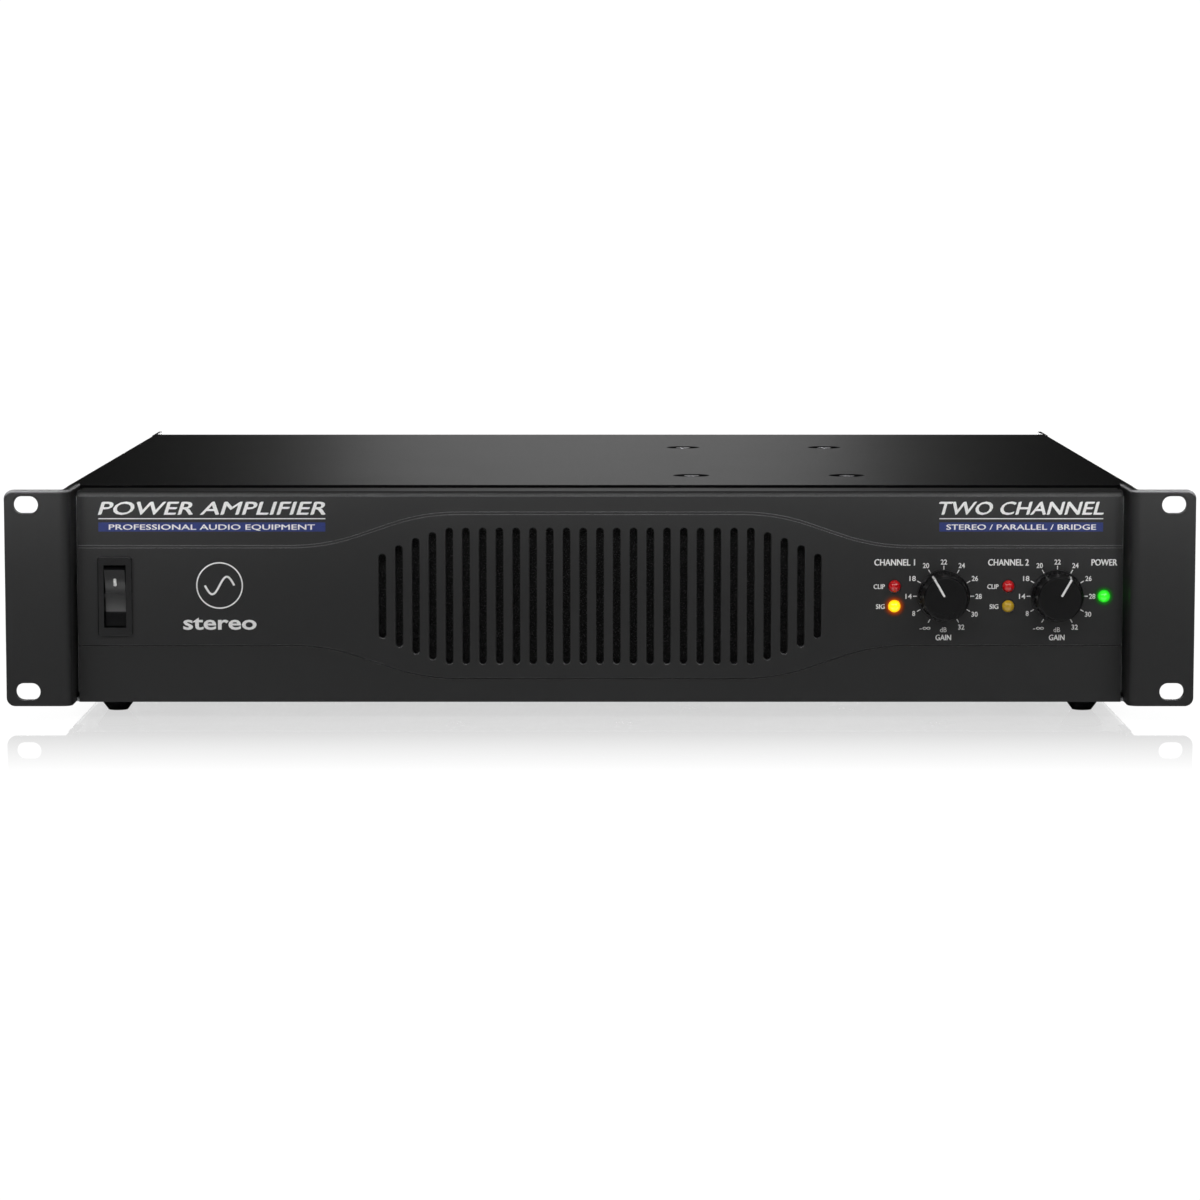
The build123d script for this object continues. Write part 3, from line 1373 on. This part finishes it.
# ---------------------------------------------------------------- speaker sockets and binding posts
with BuildPart() as speaker_sockets:
    for z in row_heights:
        here = moved(rear_plane(panel_outside), -speaker_x, z)
        with BuildSketch(here):
            RectangleRounded(socket_flange_width, socket_flange_height, socket_corner)
        extrude(amount=socket_flange)
        with BuildSketch(here):
            Circle(speaker_barrel_radius)
        extrude(amount=-(speaker_barrel_depth - socket_flange))
        with BuildSketch(here.offset(socket_flange)):
            Circle(speaker_mouth_radius)
        extrude(amount=-speaker_mouth_depth, mode=Mode.SUBTRACT)
        with BuildSketch(here.offset(socket_flange - speaker_mouth_depth)):
            Circle(speaker_core_radius)
        extrude(amount=speaker_mouth_depth - speaker_key)
        with BuildSketch(here.offset(socket_flange - speaker_mouth_depth)):
            with PolarLocations(speaker_mouth_radius, 4, start_angle=45):
                Rectangle(2 * speaker_key, 2 * speaker_key)
        extrude(amount=speaker_mouth_depth / 2)
        with BuildSketch(here.offset(socket_flange)):
            flange_screws()
        extrude(amount=-socket_flange, mode=Mode.SUBTRACT)

with BuildPart() as post_bases:
    with BuildSketch(rear_plane(panel_outside)):
        for z in row_heights:
            with Locations((-post_x, z)):
                SlotCenterToCenter(post_pitch, 2 * post_base_radius)
        with Locations(*[(-x, z) for x, z in post_spots]):
            Circle(post_stud_radius, mode=Mode.SUBTRACT)
    extrude(amount=post_base_depth)

with BuildPart() as post_studs:
    for x, z in post_spots:
        here = moved(rear_plane(panel_outside), -x, z)
        with BuildSketch(here.offset(post_base_depth + post_stud_length)):
            Circle(post_stud_radius)
            Circle(banana_radius, mode=Mode.SUBTRACT)
        extrude(amount=-banana_depth)
        with BuildSketch(here.offset(post_base_depth + post_stud_length - banana_depth)):
            Circle(post_stud_radius)
        extrude(amount=-(post_base_depth + post_stud_length - banana_depth + sheet + post_stud_tail))
        with BuildSketch(here.offset(-sheet)):
            RegularPolygon(post_nut_across / 2, 6, major_radius=False)
            Circle(post_stud_radius, mode=Mode.SUBTRACT)
        extrude(amount=-post_nut_thickness)


def post_cap(x, z):
    """Fluted cap of a binding post, round its stud."""
    with BuildPart() as cap:
        with BuildSketch(moved(rear_plane(panel_outside + post_base_depth + cap_gap), -x, z)):
            Circle(cap_radius)
            with PolarLocations(cap_radius, cap_flutes):
                Circle(cap_flute_radius, mode=Mode.SUBTRACT)
            Circle(post_stud_radius + running_gap, mode=Mode.SUBTRACT)
        extrude(amount=cap_length)
    return cap


post_caps = [post_cap(x, z) for x, z in post_spots]

# ---------------------------------------------------------------- mains inlet and breaker
with BuildPart() as mains_inlet:
    here = moved(rear_plane(panel_outside), -inlet_x, middle)
    with BuildSketch(here):
        RectangleRounded(inlet_flange_width, inlet_flange_height, socket_corner)
        with GridLocations(2 * inlet_screw_x, 0, 2, 1):
            Circle(screw_hole, mode=Mode.SUBTRACT)
    extrude(amount=inlet_flange)
    with BuildSketch(here):
        Rectangle(inlet_body_width, inlet_body_height)
    extrude(amount=-(inlet_body_depth - inlet_flange))
    # The cavity has its two lower corners cut off.
    with BuildSketch(here.offset(inlet_flange)) as cavity:
        Rectangle(inlet_cavity_width, inlet_cavity_height)
        chamfer(cavity.vertices().group_by(Axis.Y)[0], inlet_chamfer)
    extrude(amount=-inlet_cavity_depth, mode=Mode.SUBTRACT)

pin_spots = [(-inlet_pin_x, -inlet_pin_rise), (0, inlet_pin_rise), (inlet_pin_x, -inlet_pin_rise)]
with BuildPart() as inlet_pins:
    cavity_floor = here.offset(inlet_flange - inlet_cavity_depth)
    with BuildSketch(cavity_floor):
        with Locations(*pin_spots):
            Rectangle(inlet_pin_width, inlet_pin_height)
    extrude(amount=inlet_pin_length)
    with BuildSketch(here.offset(inlet_flange - inlet_body_depth)):
        with Locations(*pin_spots):
            Rectangle(inlet_pin_height, terminal_thickness)
    extrude(amount=-inlet_tab)

breaker_here = moved(rear_plane(panel_inside), -breaker_x, middle)
with BuildPart() as breaker_body:
    with BuildSketch(breaker_here):
        Rectangle(breaker_body_width, breaker_body_height)
    extrude(amount=-breaker_body_depth)
    with BuildSketch(breaker_here):
        Circle(breaker_bush_radius)
    extrude(amount=sheet + breaker_bush_proud)
    with BuildSketch(breaker_here.offset(sheet)):
        Circle(breaker_nut_radius)
    extrude(amount=breaker_nut_thickness)
    with BuildSketch(breaker_here.offset(sheet + breaker_bush_proud)):
        Circle(breaker_button_radius + running_gap)
    extrude(amount=-(sheet + breaker_bush_proud + breaker_button_inside + breaker_gap), mode=Mode.SUBTRACT)

with BuildPart() as breaker_button:
    with BuildSketch(breaker_here.offset(sheet + breaker_bush_proud + breaker_button_proud)):
        Circle(breaker_button_radius)
    extrude(amount=-(sheet + breaker_bush_proud + breaker_button_proud + breaker_button_inside))
    fillet(breaker_button.faces().sort_by(Axis.Y)[-1].edges(), breaker_button_radius / 4)

# ---------------------------------------------------------------- mains wires
wire_starts = [
    (inlet_x - side * inlet_pin_x, middle - inlet_pin_rise, middle + side * terminal_rise)
    for side in (-1, 1)
]
inlet_tab_end = panel_outside + inlet_flange - inlet_body_depth - inlet_tab
switch_tab_end = switch_back + terminal_length
wire_wall_x = -(tray_inside - wire_wall_gap)


def mains_wire(start_x, start_z, end_z, step):
    """Wire from an inlet tab, along the left wall, to a switch tab, as straight runs and tangent arcs."""
    wall_x = wire_wall_x + step * 3 * wire_radius
    route = [
        (start_x, inlet_tab_end, start_z),
        (start_x, inlet_tab_end - wire_lead_out, start_z),
        (wall_x, inlet_tab_end - wire_lead_out - 1.4 * wire_slant, end_z),
        (wall_x, switch_tab_end + wire_lead_out + wire_slant, end_z),
        (switch_x, switch_tab_end + wire_lead_out, end_z),
        (switch_x, switch_tab_end, end_z),
    ]
    radii = bend_radii(route)
    print("mains wire radii", [round(radius, 1) for radius in radii])
    with BuildPart() as wire:
        with BuildLine() as path:
            FilletPolyline(*route, radius=radii)
        with BuildSketch(Plane(origin=route[0], z_dir=(0, -1, 0))):
            Circle(wire_radius)
        sweep(path=path.wires()[0])
    length = path.wires()[0].length
    section = math.pi * wire_radius**2
    print("mains wire volume over section times length:", wire.part.volume / (section * length))
    return wire.part


with BuildPart() as mains_wires:
    for step, (start_x, start_z, end_z) in enumerate(wire_starts):
        add(mains_wire(start_x, start_z, end_z, step))

# ---------------------------------------------------------------- ribbon cable
ribbon_start = pot_back + board_thickness
ribbon_end = input_board_face - board_thickness
ribbon_x = tray_inside - ribbon_wall_gap
ribbon_board_x = board_right - 2 * ribbon_wall_gap
with BuildPart() as ribbon_cable:
    with BuildSketch(Plane.XY.offset(middle - ribbon_width / 2)):
        with BuildLine():
            ribbon_route = [
                (ribbon_board_x, ribbon_start),
                (ribbon_board_x, ribbon_start + wire_lead_out),
                (ribbon_x, ribbon_start + wire_lead_out + wire_slant),
                (ribbon_x, ribbon_end - wire_lead_out - wire_slant),
                (ribbon_board_x, ribbon_end - wire_lead_out),
                (ribbon_board_x, ribbon_end),
            ]
            FilletPolyline(*ribbon_route, radius=bend_radii(ribbon_route))
        trace(line_width=ribbon_thickness)
    extrude(amount=ribbon_width)

# ---------------------------------------------------------------- written out
pieces = {
    "chassis_tray": chassis_tray,
    "top_cover": top_cover,
    "rear_panel": rear_panel,
    "rear_supports": rear_supports,
    "rubber_feet": rubber_feet,
    "fascia": fascia,
    "front_plate": front_plate,
    "foam_filter": foam_filter,
    "rack_ear_left": rack_ear_left,
    "rack_ear_right": rack_ear_right,
    "case_screws": case_screws,
    "switch_housing": switch_housing,
    "power_rocker": power_rocker,
    "gain_knob_1": gain_knobs[0],
    "gain_knob_2": gain_knobs[1],
    "gain_pots": gain_pots,
    "control_board": control_board,
    "clip_leds": clip_leds,
    "signal_led_1": signal_led_1,
    "signal_led_2": signal_led_2,
    "power_led": power_led,
    "led_leads": led_leads,
    "heat_sinks": heat_sinks,
    "power_transistors": power_transistors,
    "amplifier_boards": amplifier_boards,
    "filter_capacitors": filter_capacitors,
    "bridge_rectifier": bridge_rectifier,
    "transformer": transformer,
    "transformer_clamp": transformer_clamp,
    "transformer_bolt": transformer_bolt,
    "fan_frame": fan_frame,
    "fan_rotor": fan_rotor,
    "fan_guard": fan_guard,
    "input_sockets": input_sockets,
    "input_latch_1": input_latches[0],
    "input_latch_2": input_latches[1],
    "jack_sockets": jack_sockets,
    "input_board": input_board,
    "dip_switch_block": dip_switch_block,
    "speaker_sockets": speaker_sockets,
    "post_bases": post_bases,
    "post_studs": post_studs,
    "mains_inlet": mains_inlet,
    "inlet_pins": inlet_pins,
    "breaker_body": breaker_body,
    "breaker_button": breaker_button,
    "mains_wires": mains_wires,
    "ribbon_cable": ribbon_cable,
}
pieces.update({f"post_cap_{number}": cap for number, cap in enumerate(post_caps, 1)})
pieces.update({f"dip_lever_{number}": lever for number, lever in enumerate(levers, 1)})

os.makedirs("parts", exist_ok=True)
for name, piece in pieces.items():
    piece.part.label = name
    export_step(piece.part, f"parts/{name}.step")
print(len(pieces), "nodes")
